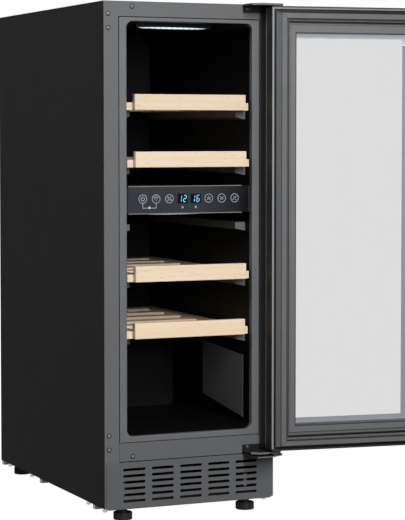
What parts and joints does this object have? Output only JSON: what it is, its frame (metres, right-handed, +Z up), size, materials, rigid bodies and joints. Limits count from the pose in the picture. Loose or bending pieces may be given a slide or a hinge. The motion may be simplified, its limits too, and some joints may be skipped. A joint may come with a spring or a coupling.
{
  "type": "wine cooler",
  "caption": "Slim two-zone wine cooler with a hinged glass door, wooden pull-out shelves, touch panel, plinth grille and levelling feet.",
  "frame": {"origin": "on the floor under the middle of the cabinet", "axes": "+X to the right facing the door, +Y to the back, +Z up"},
  "size_m": [0.562, 0.6253, 0.822],
  "materials": {
    "cabinet_steel": "satin",
    "front_steel": "satin",
    "grille_steel": "satin",
    "zinc_steel": "satin",
    "frame_plastic": "satin",
    "liner_plastic": "satin",
    "foam": "matte",
    "hinge_steel": "satin",
    "black_plastic": "satin",
    "foot_plastic": "satin",
    "panel_glass": "gloss",
    "trim_chrome": "polished",
    "board": "satin",
    "lamp": "satin",
    "beech": "satin",
    "fin_aluminium": "satin",
    "compressor_steel": "satin",
    "mount_rubber": "matte",
    "condenser_steel": "satin",
    "copper": "satin",
    "pan_plastic": "satin",
    "door_glass": "gloss",
    "spacer_aluminium": "satin",
    "door_frame_plastic": "satin",
    "door_inner_plastic": "satin",
    "grip_aluminium": "satin",
    "seal_rubber": "matte",
    "bush_nylon": "satin"
  },
  "bodies": {
    "cabinet": {"side_panel_left": "cabinet_steel", "side_panel_right": "cabinet_steel", "top_panel": "cabinet_steel", "bottom_rail": "front_steel", "back_panel": "cabinet_steel", "machine_cover": "cabinet_steel", "base_tray": "zinc_steel", "base_supports": "zinc_steel", "kick_grille": "grille_steel", "front_frame": "frame_plastic", "liner": "liner_plastic", "foam_insulation": "foam", "hinge_bracket_top": "hinge_steel", "hinge_bracket_bottom": "hinge_steel", "hole_plugs": "frame_plastic", "cabinet_screws": "zinc_steel", "control_housing": "liner_plastic", "control_glass": "panel_glass", "control_trims": "trim_chrome", "control_board": "board", "zone_divider": "liner_plastic", "light_bars": "lamp", "shelf_supports": "liner_plastic", "air_cover_upper": "liner_plastic", "air_cover_lower": "liner_plastic", "fan_frame_upper": "black_plastic", "fan_frame_lower": "black_plastic", "evaporator_upper": "fin_aluminium", "evaporator_lower": "fin_aluminium", "carbon_filter": "black_plastic", "compressor": "compressor_steel", "compressor_mounts": "mount_rubber", "condenser": "condenser_steel", "condenser_fan_frame": "black_plastic", "filter_dryer": "copper", "refrigerant_lines": "copper", "drain_pan": "pan_plastic", "drain_tube": "pan_plastic", "power_box": "black_plastic", "mains_inlet": "black_plastic"},
    "door": {"door_glass_outer": "door_glass", "door_glass_inner": "door_glass", "door_spacer": "spacer_aluminium", "door_frame": "door_frame_plastic", "door_grip": "grip_aluminium", "door_inner_frame": "door_inner_plastic", "door_gasket": "seal_rubber", "door_bushes": "bush_nylon"},
    "shelf_1": {"shelf_1": "beech"},
    "shelf_2": {"shelf_2": "beech"},
    "shelf_3": {"shelf_3": "beech"},
    "shelf_4": {"shelf_4": "beech"},
    "fan_upper": {"fan_upper": "black_plastic"},
    "fan_lower": {"fan_lower": "black_plastic"},
    "condenser_fan": {"condenser_fan": "black_plastic"},
    "foot_front_left": {"foot_front_left": "foot_plastic"},
    "foot_front_right": {"foot_front_right": "foot_plastic"},
    "foot_rear_left": {"foot_rear_left": "foot_plastic"},
    "foot_rear_right": {"foot_rear_right": "foot_plastic"}
  },
  "joints": [
    {"name": "door_hinge", "type": "hinge", "parent": "cabinet", "child": "door", "pos_m": [0.134, -0.294, 0.46025], "axis": [0, 0, 1], "range_deg": [-172, 5]},
    {"name": "shelf_1_slide", "type": "slide", "parent": "cabinet", "child": "shelf_1", "axis": [0, -1, 0], "range_m": [0, 0.25]},
    {"name": "shelf_2_slide", "type": "slide", "parent": "cabinet", "child": "shelf_2", "axis": [0, -1, 0], "range_m": [0, 0.25]},
    {"name": "shelf_3_slide", "type": "slide", "parent": "cabinet", "child": "shelf_3", "axis": [0, -1, 0], "range_m": [0, 0.25]},
    {"name": "shelf_4_slide", "type": "slide", "parent": "cabinet", "child": "shelf_4", "axis": [0, -1, 0], "range_m": [0, 0.25]},
    {"name": "fan_upper_spin", "type": "hinge", "parent": "cabinet", "child": "fan_upper", "pos_m": [0, 0.1725, 0.702], "axis": [0, 1, 0], "continuous": true},
    {"name": "fan_lower_spin", "type": "hinge", "parent": "cabinet", "child": "fan_lower", "pos_m": [0, 0.1725, 0.43], "axis": [0, 1, 0], "continuous": true},
    {"name": "condenser_fan_spin", "type": "hinge", "parent": "cabinet", "child": "condenser_fan", "pos_m": [-0.07, 0.132, 0.098], "axis": [0, 1, 0], "continuous": true},
    {"name": "foot_front_left_height", "type": "slide", "parent": "cabinet", "child": "foot_front_left", "axis": [0, 0, -1], "range_m": [-0.002, 0.03]},
    {"name": "foot_front_right_height", "type": "slide", "parent": "cabinet", "child": "foot_front_right", "axis": [0, 0, -1], "range_m": [-0.002, 0.03]},
    {"name": "foot_rear_left_height", "type": "slide", "parent": "cabinet", "child": "foot_rear_left", "axis": [0, 0, -1], "range_m": [-0.002, 0.03]},
    {"name": "foot_rear_right_height", "type": "slide", "parent": "cabinet", "child": "foot_rear_right", "axis": [0, 0, -1], "range_m": [-0.002, 0.03]}
  ]
}
